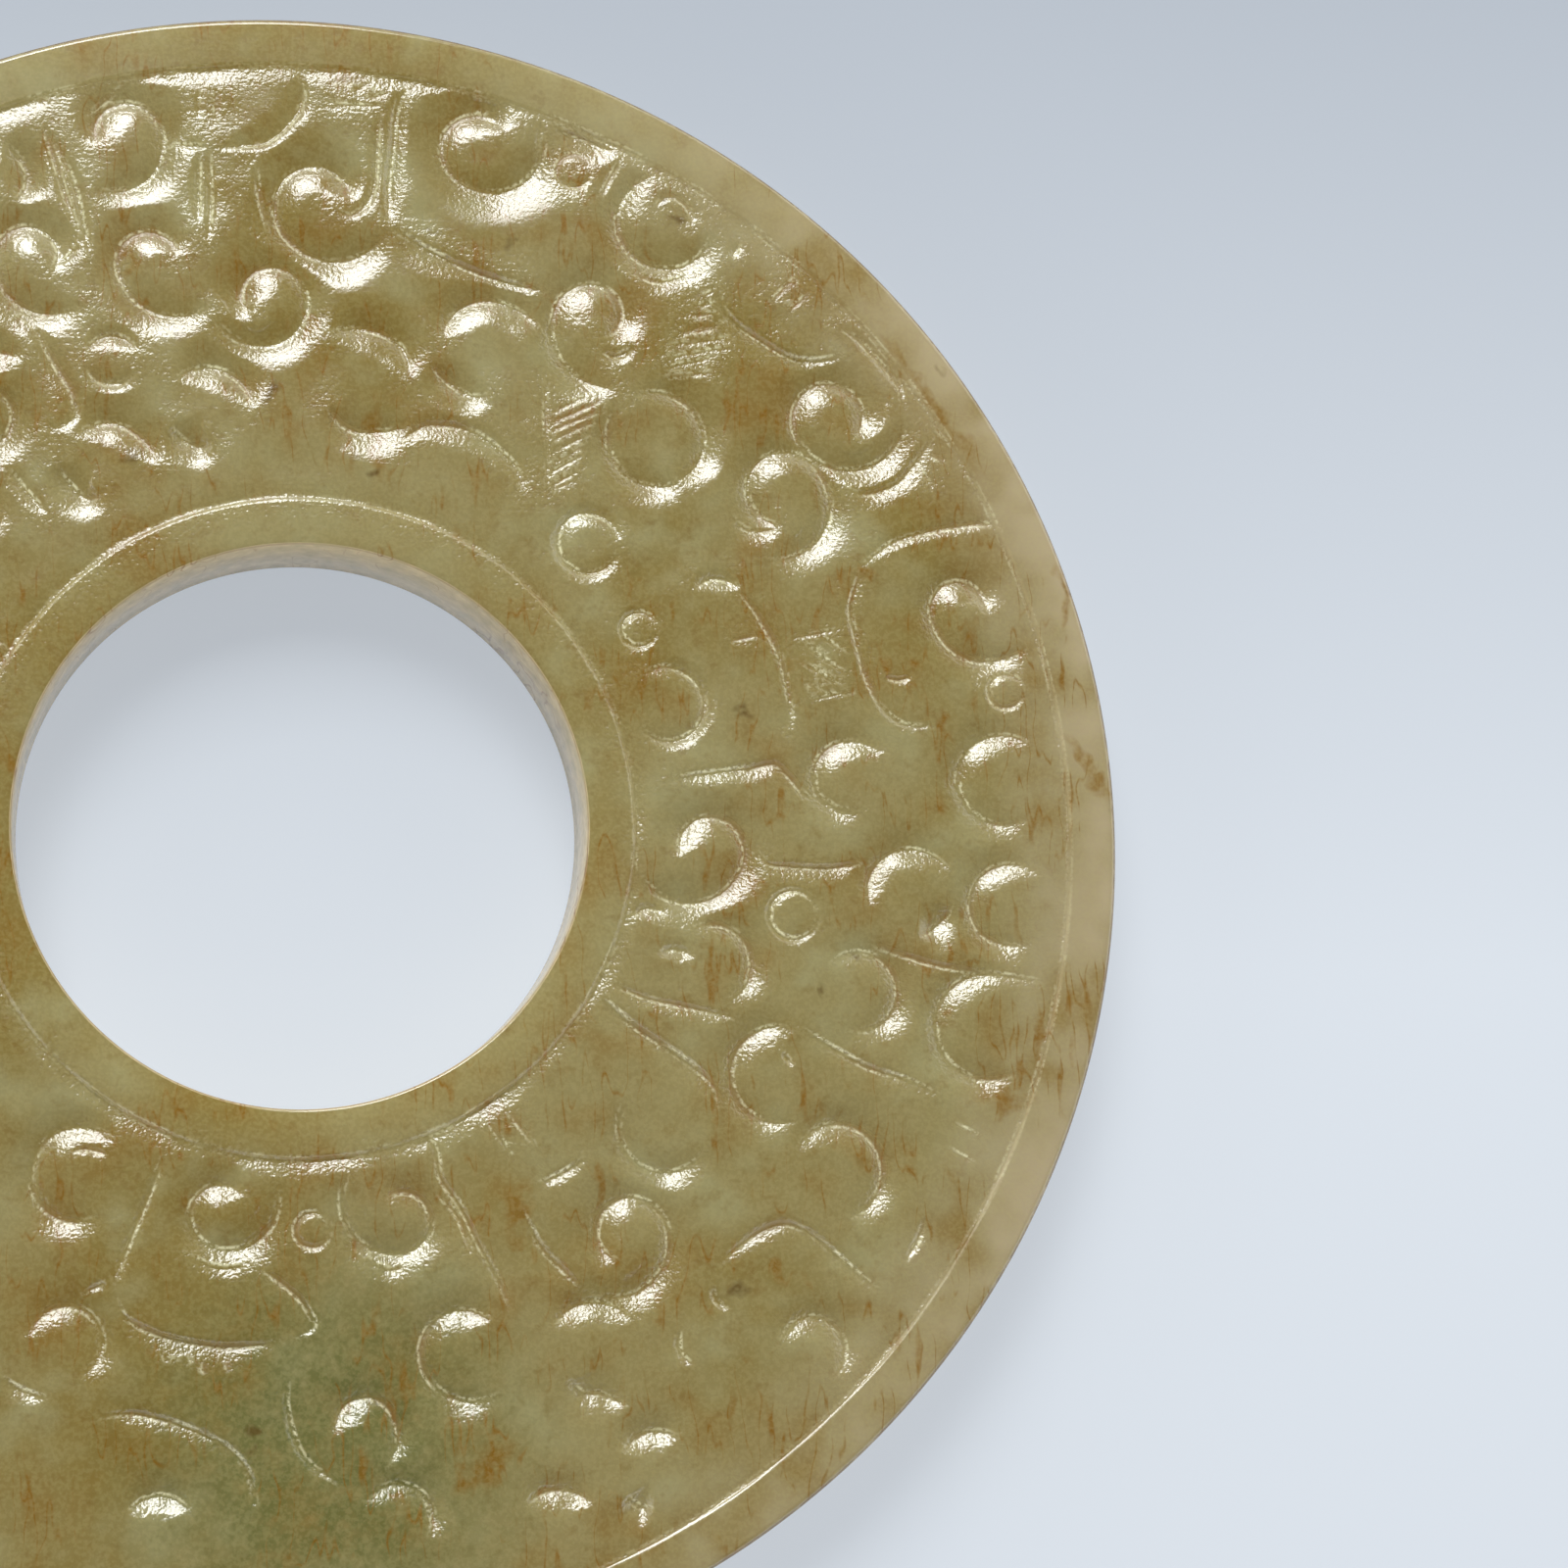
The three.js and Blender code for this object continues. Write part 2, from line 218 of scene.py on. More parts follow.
eyes = [
    curl(x, y, radius, 0, 360, inner=0.55, outer=0.5, depth=0.3)
    for x, y, radius in [(16.9, 41.0, 1.05), (43.3, 8.2, 1.05), (20.3, 11.9, 1.05), (29.4, -5.7, 1.5),
                         (0.3, -23.9, 1.0)]
] + [
    curl(x, y, radius, start, start + sweep, inner=1.2, outer=0.9, depth=0.4)
    for x, y, radius, start, sweep in [(17.3, 17.3, 1.9, 0, 350), (22.0, 7.3, 2.3, -140, 270),
                                       (-11.2, 28.1, 1.5, 20, 140), (-11.2, 28.1, 1.5, 200, 130),
                                       (25.2, 13.6, 1.6, 30, 120), (20.6, -6.6, 1.4, 30, 120),
                                       (22.0, -9.0, 1.3, 30, 110)]
]
bands = [
    line((-0.1, 47), (0.2, 45.9), (0, 44.2), (-1.7, 42.3), (-3.3, 41.8), (-5, 41.5), left=0.7, right=1.6),
    line((-7.8, 41.7), (-5.6, 41.6), left=0.6, right=0.6),
    line((-6.1, 41.3), (-6.1, 36.7), left=0.5, right=0.7),
    line((-5.5, 41.5), (-5.4, 38.4), (-5.5, 35.5), left=0.6, right=0.5),
    line((-12.9, 43.4), (-10.8, 45.1), (-9.9, 45.6), left=0.5, right=0.8),
    line((-2.7, 40.5), (-2.3, 38), (-1.7, 36), left=1.0, right=0.6),
    line((4.8, 44.2), (4.5, 39.4), (3.3, 37.6), (2.1, 37.9), left=0.6, right=0.9),
    line((-15.4, 43), (-14, 38.4), (-13.1, 35.5), left=0.6, right=0.9),
    line((-14.9, 42.1), (-13.5, 39), (-12.7, 35.3), (-12.2, 34), left=0.9, right=0.5),
    line((-17.7, 43.9), (-15.6, 44.2), (-15.1, 43.6), left=0.5, right=0.9),
    line((-14.8, 33.7), (-13.8, 34.4), (-13.1, 35.3), left=0.4, right=0.5, depth=0.3),
    line((-17.7, 31.3), (-16, 30.3), (-14.4, 27.5), (-13.5, 25.9), (-13.4, 24.4), (-15, 23.6)),
    line((-17.5, 21.5), (-15, 18.5)),
    line((6.9, 46.3), (6, 44.8), (5.7, 42.1), (5.4, 40), (5.4, 37), left=1.5, right=0.7),
    line((5.4, 37), (8, 35.5), (11, 34.2), (15.3, 33), left=0.4, right=1.8),
    line((15, 44.4), (14.6, 41.7), left=0.7, right=0.7),
    line((15.4, 43.9), (17.6, 43.3), (19.8, 42.1), left=0.3, right=2.8, depth=0.5),
    line((19.9, 41.9), (19.2, 40.6), (18.4, 39), left=0.5, right=0.6, depth=0.3),
    line((20, 34.8), (22.1, 34), (24.2, 34.6), (25.7, 35.6), left=0.7, right=1.2),
    line((18.4, 29.4), (19.4, 29.2), (20.5, 29.8), left=0.4, right=0.8, depth=0.35),
    line((5.6, 23.1), (7.3, 24.4), (9, 24.5), (10.7, 24), (12.5, 22.5), (13.2, 21.5), (13.6, 20.3),
         left=0.8, right=1.5),
    line((27.3, 36.7), (26.7, 35.6), left=0.6, right=0.6),
    line((25.7, 33.5), (26.5, 31.9), (28.2, 30.6), (30.25, 29.4), (31.9, 29.2), (34, 29.6),
         left=0.4, right=1.7),
    line((33.3, 31.5), (35, 30.3), (37.1, 27.8), (37.3, 26.3), left=1.3, right=0.8),
    line((32.7, 21.5), (34.6, 20.7), (36.7, 21.3), (38.1, 22.8), (39.4, 24.7), left=0.8, right=1.4),
    line((26.25, 19), (27.5, 18.2), (29.4, 18.4), left=0.7, right=1.2),
    line((34.4, 15.9), (35, 16.5), (36.5, 17.6), (38.75, 18.3), (40.8, 18.7), (42.7, 18.8), (43.75, 17.8),
         (44.6, 15.5), (45, 13.4), left=1.0, right=0.7),
    line((34.4, 15.9), (33.6, 13.5), (33.9, 11.5), (34.5, 9), (35.5, 7), (36.9, 6), (38.7, 6),
         left=0.9, right=0.6),
    line((35.6, 9.1), (36.5, 8.9), (37.3, 9.1), left=0.4, right=0.5, depth=0.3),
    line((26.5, 14.5), (27.7, 13), (29, 10.5), (29.5, 8.2), (29.6, 5.7), left=0.7, right=1.0),
    line((21.8, 2.6), (24.3, 3), (26.8, 3.3), (28.5, 3.6), (29.5, 2.75), (30.4, 1.7), (31.4, 1.5),
         (32.5, 0.8), (33.9, 0.7), left=0.6, right=1.2),
    line((27, -1.4), (27.9, -2.5), (29.5, -2.7), (31.8, -2.8), (34.3, -2.4), left=0.4, right=1.4),
    line((17.8, -9.5), (20.2, -10.6), (22.7, -11.2), (26, -12), left=0.5, right=1.1),
    line((17, -10), (19.1, -12), (21.8, -13.9), (24.1, -15.8), (24.6, -17.5), left=0.5, right=1.9),
    line((33.7, -7.25), (35.8, -8.1), (38.5, -8.9), (41, -9.3), (45, -10), left=0.6, right=1.0),
    line((29.5, -12.5), (31.4, -13.7), (33.7, -15), (36, -15.8), (38, -16.8), left=0.5, right=1.2),
    line((28.4, -14), (29.1, -14.9), left=0.4, right=0.4, depth=0.25),
    line((24.1, -26.6), (25.5, -25.5), (27, -24.6), (28.5, -24.3), (30.1, -25.1), (32, -26.8), (33.9, -28.5),
         left=0.6, right=1.3),
    line((23.7, -27.8), (24, -28.7), (24.7, -29.3), left=0.9, right=0.5),
    line((37, -24.1), (36.4, -25.5), (35.5, -26.8), left=0.6, right=0.6),
    line((21.7, -30.3), (21.7, -31.6), (22.4, -32.4), left=0.7, right=0.6),
    line((12.4, -23), (13.7, -25.3), (14.9, -26.6), (16.2, -27.9), left=0.6, right=1.5),
    line((13.5, -21.6), (15.1, -20.9), (16.4, -20.1), left=0.5, right=0.8),
    line((-8.2, -19.4), (-9, -21.5), (-10.2, -24.4), (-11.2, -27), left=0.7, right=0.9),
    line((-7.2, -25), (-5.1, -25.9), (-3, -25.7), left=0.4, right=1.2),
    line((2.8, -25), (4.5, -26.3), (6.4, -25.9), left=0.4, right=1.2),
    line((-3, -25.7), (-1.5, -26.9), (-0.3, -28), (0.3, -29.4), (-0.9, -30), left=0.7, right=0.7),
    line((-11, -27.3), (-10.5, -28.4), (-9, -29.4), (-7.2, -30), (-4.7, -30.4), (-1.3, -30.25),
         left=0.4, right=1.8),
    line((4.9, -19.1), (6.8, -18.9), (7.5, -19.4), (7.8, -21.1), (8.9, -22.75), (10.1, -25.25), (11.2, -27.3),
         (11.8, -29), left=0.6, right=0.9),
    line((7.6, -21.9), (8.9, -23.6), (9.5, -25.7), left=0.4, right=0.4, depth=0.3),
    line((-17.3, -31.7), (-16.1, -32.5), (-14.7, -33), left=0.5, right=1.2),
    line((-12.8, -27.1), (-11.3, -26.5), left=0.5, right=1.0),
    line((-12, -34.1), (-10.1, -34), (-8, -34.5), (-5.7, -35.5), (-4.25, -36.5), (-3.4, -37.75), (-3, -39.6),
         left=0.6, right=1.4),
    line((-1.2, -32.3), (-1.3, -33.8), (-0.8, -35.9), (0.1, -37.3), (1.8, -38.4), left=0.9, right=0.6),
    line((-13.5, -19.1), (-12.6, -18.9), (-11.3, -19.3), left=0.4, right=0.5, depth=0.3),
]
fine_cuts = [
    tick(-6.1, 45.5, -6.1, 43.2), tick(-5.0, 45.5, -5.0, 43.2),
    tick(30.9, 34.6, 29, 32.7), tick(31.7, 33.5, 30.25, 32.3),
    tick(38.8, -18.5, 40.5, -19.4), tick(38.4, -20, 40.1, -21),
    tick(11.8, -17.2, 13.4, -19.4), tick(10.6, -17.7, 12.1, -20.2),
    tick(25.9, 11.2, 27.7, 11.6),
    tick(38.75, 23.4, 40, 22.8), tick(38.1, 22.6, 39.2, 20.9),
    tick(-8.2, -30.5, -8.0, -31.3), tick(-7, -30.7, -6.8, -31.5),
    tick(-6, -31.2, -5.8, -32), tick(-4.7, -31.1, -4.5, -31.9),
    tick(1.6, 44.6, 5.2, 44.6),
    tick(29.7, 11.4, 32.9, 12), tick(30.6, 7.5, 33.8, 8.2),
    tick(31.5, 11.7, 33.2, 10.4), tick(30.2, 11.2, 33.4, 9.0),
    tick(30.3, 10.0, 33.0, 8.2), tick(30.5, 8.8, 31.7, 7.9),
    tick(14.85, 27.5, 14.85, 20.0),
]


unsteady_hand = np.random.default_rng(3)


def hatch(first, last, count):
    """A patch of nearly parallel cuts, from the first to the last, each given by its two ends."""
    first, last = np.array(first), np.array(last)
    cuts = []
    for share in np.linspace(0, 1, count):
        ends = first + (last - first) * share + unsteady_hand.uniform(-0.28, 0.28, 4)
        cuts.append(tick(*ends, depth=unsteady_hand.uniform(0.05, 0.1)))
    return cuts


fine_cuts += hatch((1.9, 45.8, 3.2, 46.8), (4.5, 44.8, 5.6, 45.6), 5)
fine_cuts += hatch((21.8, 27.9, 25.3, 28.4), (22.3, 29.7, 27.0, 30.4), 4)
fine_cuts += hatch((22.8, 30.4, 26.8, 31.0), (24.9, 32.9, 25.8, 33.2), 5)
fine_cuts += hatch((14.9, 20.2, 16.6, 21.1), (14.9, 25.4, 19.1, 27.4), 9)


def turned_copy(stroke, degrees):
    """The stroke turned about the middle of the disc."""
    angle = math.radians(degrees)
    turn = np.array([[math.cos(angle), math.sin(angle)], [-math.sin(angle), math.cos(angle)]])
    return {**stroke, "path": stroke["path"] @ turn}


shown_strokes = outer_row + middle_row + inner_row + eyes + bands + fine_cuts
hidden_left = -18.6
hidden_bottom = -43.4


def fills_hidden_left(stroke):
    return stroke["path"][:, 0].mean() < hidden_left


def fills_hidden_bottom(stroke):
    x, y = stroke["path"].mean(axis=0)
    return y < hidden_bottom and x > hidden_left


front_strokes = list(shown_strokes)
front_strokes += [s for s in (turned_copy(s, 180) for s in shown_strokes) if fills_hidden_left(s)]
front_strokes += [s for s in (turned_copy(s, -90) for s in shown_strokes) if fills_hidden_bottom(s)]


def back_curls():
    """The back is plainer: rows of one curl, evenly spaced."""
    strokes = []
    rows = 2
    width = (outer_rim_radius - inner_rim_radius) / rows
    for row in range(rows):
        reach = inner_rim_radius + width * (row + 0.5)
        count = round(2 * math.pi * reach / 14)
        for i in range(count):
            angle = 360 * (i + row / 2) / count
            x, y = reach * math.cos(math.radians(angle)), reach * math.sin(math.radians(angle))
            strokes.append(curl(x, y, 3.4, angle + 60, angle + 350, 1.7, depth=0.4))
    return strokes


blend_power = 4
slope_power = 2.0
far_gap = 2.0


def nearest_on_path(x, y, path):
    """For each point, its distance to the path, positive on the left, and how far along it lies."""
    start, step = path[:-1], np.diff(path, axis=0)
    lengths = np.hypot(step[:, 0], step[:, 1])
    before = np.concatenate([[0], np.cumsum(lengths)[:-1]])
    best = np.full(x.shape, np.inf)
    side = np.zeros(x.shape)
    travel = np.zeros(x.shape)
    for (sx, sy), (dx, dy), length, offset in zip(start, step, lengths, before):
        if length == 0:
            continue
        px, py = x - sx, y - sy
        share = np.clip((px * dx + py * dy) / length ** 2, 0, 1)
        gap = np.hypot(px - share * dx, py - share * dy)
        closer = gap < best
        best = np.where(closer, gap, best)
        side = np.where(closer, np.sign(dx * py - dy * px), side)
        travel = np.where(closer, offset + share * length, travel)
    return best * np.where(side == 0, 1, side), travel, lengths.sum()


waves = 14
wave_lengths = (2.5, 7.0)
wave_height = 0.007


def unevenness(x, y):
    """How far the ground of the field lies below its highest points, where the rubbing left it uneven."""
    hand = np.random.default_rng(5)
    total = np.zeros(x.shape)
    for _ in range(waves):
        angle = hand.uniform(0, math.tau)
        length = hand.uniform(*wave_lengths)
        phase = hand.uniform(0, math.tau)
        total += np.sin(math.tau * (x * math.cos(angle) + y * math.sin(angle)) / length + phase)
    return wave_height * np.clip(total + 5.0, 0, None)


def carve(x, y, strokes):
    """Under each point: the depth of the carving, the distance to the nearest cut, how full that cut is there
    and on which side of it the point lies."""
    depth_sum = np.zeros(x.shape)
    nearest = np.full(x.shape, far_gap)
    fullness = np.zeros(x.shape)
    side = np.zeros(x.shape)
    for stroke in strokes:
        path, left, right = stroke["path"], stroke["left"], stroke["right"]
        reach = max(left, right, far_gap)
        low, high = path.min(axis=0) - reach, path.max(axis=0) + reach
        near = np.flatnonzero((x > low[0]) & (x < high[0]) & (y > low[1]) & (y < high[1]))
        if not len(near):
            continue
        gap, travel, total = nearest_on_path(x[near], y[near], path)
        run_in, run_out = min(stroke.get("run_in", 3.4), total / 2.6), min(3.4, total / 2.6)
        fade = np.sin(np.clip(np.minimum(travel / run_in, (total - travel) / run_out), 0, 1) * math.pi / 2)
        width = np.where(gap > 0, left, right) * (0.4 + 0.6 * fade)
        fall = np.clip(1 - np.abs(gap) / width, 0, 1)
        depth_sum[near] += (stroke["depth"] * fade * fall ** slope_power) ** blend_power
        closer = np.abs(gap) < nearest[near]
        nearest[near] = np.where(closer, np.abs(gap), nearest[near])
        fullness[near] = np.where(closer, fade, fullness[near])
        side[near] = np.where(closer, np.sign(gap), side[near])
    radius = np.hypot(x, y)
    within = np.clip((outer_rim_radius - radius) / 0.35, 0, 1)
    within *= np.clip((radius - inner_rim_radius) / 0.35, 0, 1)
    depth_sum *= within ** blend_power
    angle = np.arctan2(y, x)
    for rim, field_side, turns, cut in ((outer_rim_radius, -1, 23, 0.28), (inner_rim_radius, 1, 11, 0.42)):
        gap = (radius - rim) * field_side
        fall = np.clip(1 - np.abs(gap) / np.where(gap > 0, 1.5, 0.2), 0, 1)
        strength = 0.65 + 0.22 * np.sin(angle * turns) + 0.13 * np.sin(angle * (2 * turns + 3) + 1)
        depth_sum += (cut * strength * fall ** slope_power) ** blend_power
    depth = depth_sum ** (1 / blend_power) + unevenness(x, y) * within
    fullness = fullness * within
    for rim in (outer_rim_radius, inner_rim_radius):
        gap = radius - rim
        closer = np.abs(gap) < nearest
        nearest = np.where(closer, np.abs(gap), nearest)
        fullness = np.where(closer, 0.4, fullness)
    return depth, nearest, fullness, side


def carved_heights(places):
    """Moves the points of both faces down to the carved surface, and returns each one's distance to the
    nearest cut, how full that cut is and which side of it the point is on."""
    x, y, z = places.T
    gap = np.full(len(places), far_gap)
    fullness = np.zeros(len(places))
    side = np.zeros(len(places))
    radius = np.hypot(x, y)
    on_field = (radius > inner_rim_radius - 0.4) & (radius < outer_rim_radius + 0.4)
    for face, sign, strokes in ((disc_thickness, -1, front_strokes), (0.0, 1, back_curls())):
        near_face = np.abs(z - face) < disc_thickness / 2
        here = np.flatnonzero(on_field & near_face)
        depth, gap[here], fullness[here], side[here] = carve(x[here], y[here], strokes)
        places[here, 2] = face + sign * depth
    return gap, fullness, side


def on_flat_rim(mesh):
    """Which faces lie flat in the rims, outside the field."""
    centres = np.empty(len(mesh.polygons) * 3)
    mesh.polygons.foreach_get("center", centres)
    normals = np.empty(len(mesh.polygons) * 3)
    mesh.polygons.foreach_get("normal", normals)
    radius = np.hypot(*centres.reshape(-1, 3)[:, :2].T) / mm
    off_field = (radius > outer_rim_radius + 0.5) | (radius < inner_rim_radius - 0.5)
    return off_field & (np.abs(normals.reshape(-1, 3)[:, 2]) > 0.9999)


def carved_disc():
    """The disc as one closed mesh in metres, fine where it is carved and coarse where it is flat."""
    mesh = finished_mesh(fine_blank())
    places = vertex_places(mesh)
    carved_heights(places)
    mesh.vertices.foreach_set("co", places.ravel())
    mesh.update()
    worker = bpy.data.objects.new("worker", mesh)
    bpy.context.collection.objects.link(worker)
    thin = worker.modifiers.new("thin", "DECIMATE")
    thin.ratio = finished_triangles / (2 * len(mesh.polygons))
    thinned = finished_mesh(worker)
    places = vertex_places(thinned)
    for name, values in zip(("gap", "fullness", "side"), carved_heights(places)):
        thinned.attributes.new(name, "FLOAT", "POINT").data.foreach_set("value", values)
    thinned.vertices.foreach_set("co", (places * mm).ravel())
    thinned.polygons.foreach_set("use_smooth", ~on_flat_rim(thinned))
    thinned.update()
    return thinned


disc = bpy.data.objects.new("bi_disc_carved", carved_disc())
bpy.context.collection.objects.link(disc)


class Value:
    """A socket of a material, so that sums on sockets can be written as plain expressions."""

    def __init__(self, tree, socket):
        self.tree = tree
        self.socket = socket

    def maths(self, operation, *terms, clamp=False):
        node = self.tree.nodes.new("ShaderNodeMath")
        node.operation = operation
        node.use_clamp = clamp
        for slot, term in zip(node.inputs, terms):
            join(self.tree, slot, term)
        return Value(self.tree, node.outputs[0])

    def __add__(self, other):
        return self.maths("ADD", self, other)

    def __sub__(self, other):
        return self.maths("SUBTRACT", self, other)

    def __rsub__(self, other):
        return self.maths("SUBTRACT", other, self)

    def __mul__(self, other):
        return self.maths("MULTIPLY", self, other)

    def __abs__(self):
        return self.maths("ABSOLUTE", self)

    def most(self, other):
        return self.maths("MAXIMUM", self, other)

    def least(self, other):
        return self.maths("MINIMUM", self, other)

    def kept(self):
        """The value held between 0 and 1."""
        return self.maths("ADD", self, 0.0, clamp=True)

    __radd__ = __add__
    __rmul__ = __mul__


def join(tree, slot, term):
    """Links a socket to a slot, or sets the slot to a plain value."""
    if isinstance(term, Value):
        tree.links.new(term.socket, slot)
    else:
        slot.default_value = term


class Finish:
    """A material made of nodes, with one method that makes any of them."""

    def __init__(self, name):
        self.material = bpy.data.materials.new(name)
        self.material.use_nodes = True
        self.tree = self.material.node_tree
        self.tree.nodes.clear()

    def node(self, kind, settings=None, output=0, **inputs):
        """Settings are set first, then the inputs: values or links, by name with _ for a space."""
        node = self.tree.nodes.new("ShaderNode" + kind)
        for key, value in (settings or {}).items():
            setattr(node, key, value)
        for key, term in inputs.items():
            by_number = key[0] == "n" and key[1:].isdigit()
            slot = node.inputs[int(key[1:]) if by_number else key.replace("_", " ")]
            join(self.tree, slot, term)
        return Value(self.tree, node.outputs[output])

    def mix(self, share, first, second, blend="MIX"):
        """Two colours mixed by a share of the second."""
        settings = {"data_type": "RGBA", "blend_type": blend}
        return self.node("Mix", settings, output=2, n0=share, n6=first, n7=second)


def srgb(red, green, blue):
    """A colour given in screen values, as the linear values that a shader takes."""
    def linear(c):
        c = c / 255
        return c / 12.92 if c <= 0.04045 else ((c + 0.055) / 1.055) ** 2.4
    return (linear(red), linear(green), linear(blue), 1.0)


dark_specks = [(-3.3, -35.3), (-3.2, -36.6), (23.5, 38.0), (22.4, 38.6), (8.5, 36.9), (12.8, 36), (-2, 26.3),
               (4, 21.3), (31, -10.5), (26.5, 7), (-10, 22), (33.3, -8), (25.4, -28), (24.6, -28.4), (40, 29)]


def jade():
    stone = Finish("olive_nephrite")
    place = stone.node("TexCoord", output=3)
    gap = stone.node("Attribute", {"attribute_name": "gap"}, output=2)
    fullness = stone.node("Attribute", {"attribute_name": "fullness"}, output=2)
    side = stone.node("Attribute", {"attribute_name": "side"}, output=2)
    clouds = stone.node("TexNoise", Vector=place, Scale=70.0, Detail=1.0, Roughness=0.55)
    patches = stone.node("TexNoise", Vector=place, Scale=210.0, Detail=2.0, Roughness=0.6)
    mottle = stone.node("TexNoise", Vector=place, Scale=1000.0, Detail=2.0, Roughness=0.65)
    grain = stone.node("TexNoise", Vector=place, Scale=4200.0, Detail=1.0, Roughness=0.6)
    warp = stone.node("TexNoise", output=1, Vector=place, Scale=800.0, Detail=0.0)
    rough_edge = 0.0016
    flat_place = stone.node("VectorMath", {"operation": "MULTIPLY"}, n0=place, n1=(1.0, 1.0, 0.0))
    to_middle = (-rough_edge / 2, -rough_edge / 2, 0.0)
    shifted = stone.node("VectorMath", {"operation": "MULTIPLY_ADD"}, n0=warp,
                         n1=(rough_edge, rough_edge, 0.0), n2=flat_place)
    shifted = stone.node("VectorMath", {"operation": "ADD"}, n0=shifted, n1=to_middle)
    bent = stone.node("VectorMath", {"operation": "MULTIPLY_ADD"}, n0=warp,
                      n1=(rough_edge / 6,) * 3, n2=place)

    def stains(degrees, *spots):
        """Soft patches that lie along one direction, each by its middle, half length and half width in mm."""
        turned = stone.node("Mapping", Vector=shifted, Rotation=(0, 0, -math.radians(degrees)))
        nearest = 9.0
        for x, y, length, width in spots:
            middle = Matrix.Rotation(-math.radians(degrees), 2) @ Vector((x, y))
            local = stone.node("VectorMath", {"operation": "MULTIPLY_ADD"}, n0=turned,
                               n1=(1 / (length * mm), 1 / (width * mm), 0.0),
                               n2=(-middle.x / length, -middle.y / width, 0.0))
            reach = stone.node("VectorMath", {"operation": "LENGTH"}, output=1, n0=local)
            nearest = reach.least(nearest)
        return (1.5 - nearest * 1.5).kept()

    def streaks(source, scale, degrees, level, sharpness):
        """Thin short threads along one direction, fewer the higher the level."""
        turned = stone.node("Mapping", Vector=source, Rotation=(0, 0, math.radians(degrees)), Scale=scale)
        field = stone.node("TexNoise", Vector=turned, Scale=1.0, Detail=0.0)
        return ((field - level) * sharpness).kept()

    radius = stone.node("VectorMath", {"operation": "LENGTH"}, output=1, n0=flat_place) * (1 / mm)
    across = stone.node("SeparateXYZ", Vector=place) * (1 / mm)
    olive = stone.mix((clouds * 4.0 - 1.5).kept(), srgb(128, 110, 57), srgb(140, 127, 82))
    olive = stone.mix((patches * 5.0 - 2.6).kept() * 0.65, olive, srgb(150, 144, 102))
    olive = stone.mix((patches * -6.0 + 2.8).kept() * 0.5, olive, srgb(124, 90, 26))
    olive = stone.mix((mottle * 4.0 - 2.2).kept() * 0.45, olive, srgb(112, 82, 24))
    cream = (radius * 0.14 - 5.9).kept() * (across * 0.03 - 0.3).kept() * (patches * 2.5 - 0.55).kept()
    olive = stone.mix(cream, olive, srgb(168, 152, 120))
    # A darker green patch over the bottom of the field: partly the stone's own colour, partly painted shade
    # darkening the bottom of the disc.
    green = stains(90, (1, -37, 15, 14))
    olive = stone.mix(green * (mottle * 2.0 - 0.2).kept() * 0.85, olive, srgb(98, 99, 52))
    # The wall of the hole is painted pale cream: partly the stone's whitening, partly painted light where
    # little light reaches into the hole.
    wall = (340.8 - radius * 20.0).kept()
    olive = stone.mix(wall * (mottle * 2.0 - 0.3).kept(), olive, srgb(204, 182, 136))
    rust = stains(90, (0.5, 30, 2.8, 0.4), (-14.3, 25, 1.6, 0.9), (12, -23, 2.4, 1.2), (-10.1, 35, 2, 0.3),
                  (4.4, 23.4, 3.4, 0.7), (42, -17, 0.9, 2.6), (47.2, 14, 3.0, 0.4), (22.3, 13, 1.1, 0.25),
                  (24.2, -7.8, 1.3, 0.3))
    rust = rust.most(stains(125, (39, 27, 6, 0.6), (48.6, 3, 3.2, 0.4), (10, -38, 1.2, 2.6)))
    olive = stone.mix(rust * (mottle * 3.2 - 0.8).kept() * 0.7, olive, srgb(124, 86, 10))
    wander = stone.node("Mapping", Vector=bent, Rotation=(0, 0, math.radians(6)), Scale=(900, 170, 300))
    wander = stone.node("TexNoise", Vector=wander, Scale=1.0, Detail=1.0, Roughness=0.5)
    veins = (1 - abs(wander - 0.5) * 40.0).kept() * (patches * -12.0 + 6.2).kept()
    veins = veins * (mottle * 5.0 - 1.6).kept()
    olive = stone.mix(veins * 0.8, olive, srgb(124, 84, 10))
    olive = stone.mix((grain * 5.0 - 2.1).kept() * 0.16, olive, srgb(172, 162, 112))
    broken = (grain * 5.0 - 1.9).kept()
    one_side = (side * (patches - 0.5) * 9.0 + 0.35).kept()
    score = (1 - abs(gap - 0.16) * 7.5).kept() * fullness * one_side * (mottle * 4.0 - 0.85).kept()
    olive = stone.mix(score * broken, olive, srgb(220, 214, 176))
    film = (1 - gap * 3.0).kept() * fullness * (patches * -6.0 + 3.2).kept()
    olive = stone.mix(film * 0.45, olive, srgb(120, 84, 20))
    speck_reach = 9.0
    for x, y in dark_specks:
        speck = stone.node("VectorMath", {"operation": "DISTANCE"}, output=1, n0=shifted,
                           n1=(x * mm, y * mm, 0))
        speck_reach = speck.least(speck_reach)
    specks = (1.5 - speck_reach * 3000.0).kept() * (mottle * 5.0 - 1.8).kept()
    olive = stone.mix(specks * 0.7, olive, srgb(80, 54, 8))
    # Painted shade: a brown line along the rounded outer edge and the hole's edge, where the corner turns
    # away from the light.
    edge = (1 - abs(radius - 49.9) * 9.0).kept() + (1 - abs(radius - 16.95) * 14.0).kept() * 0.7
    olive = stone.mix(edge * (mottle * 3.0 - 0.6).kept() * 0.85, olive, srgb(86, 60, 34))
    scratch = streaks(place, (300, 5200, 600), 35, 0.52, 4)
    worked = (1 - gap * 0.45).kept() * (470.5 - radius * 10.0).kept()
    furrows = (gap * 26.0).maths("SINE") * fullness * (1 - gap * 0.8).kept()
    relief = grain * (worked * 1.3 + 0.1) + scratch * (worked * 0.12 + 0.02) + furrows * 0.2
    bump = stone.node("Bump", Height=relief, Strength=0.8, Distance=0.00005)
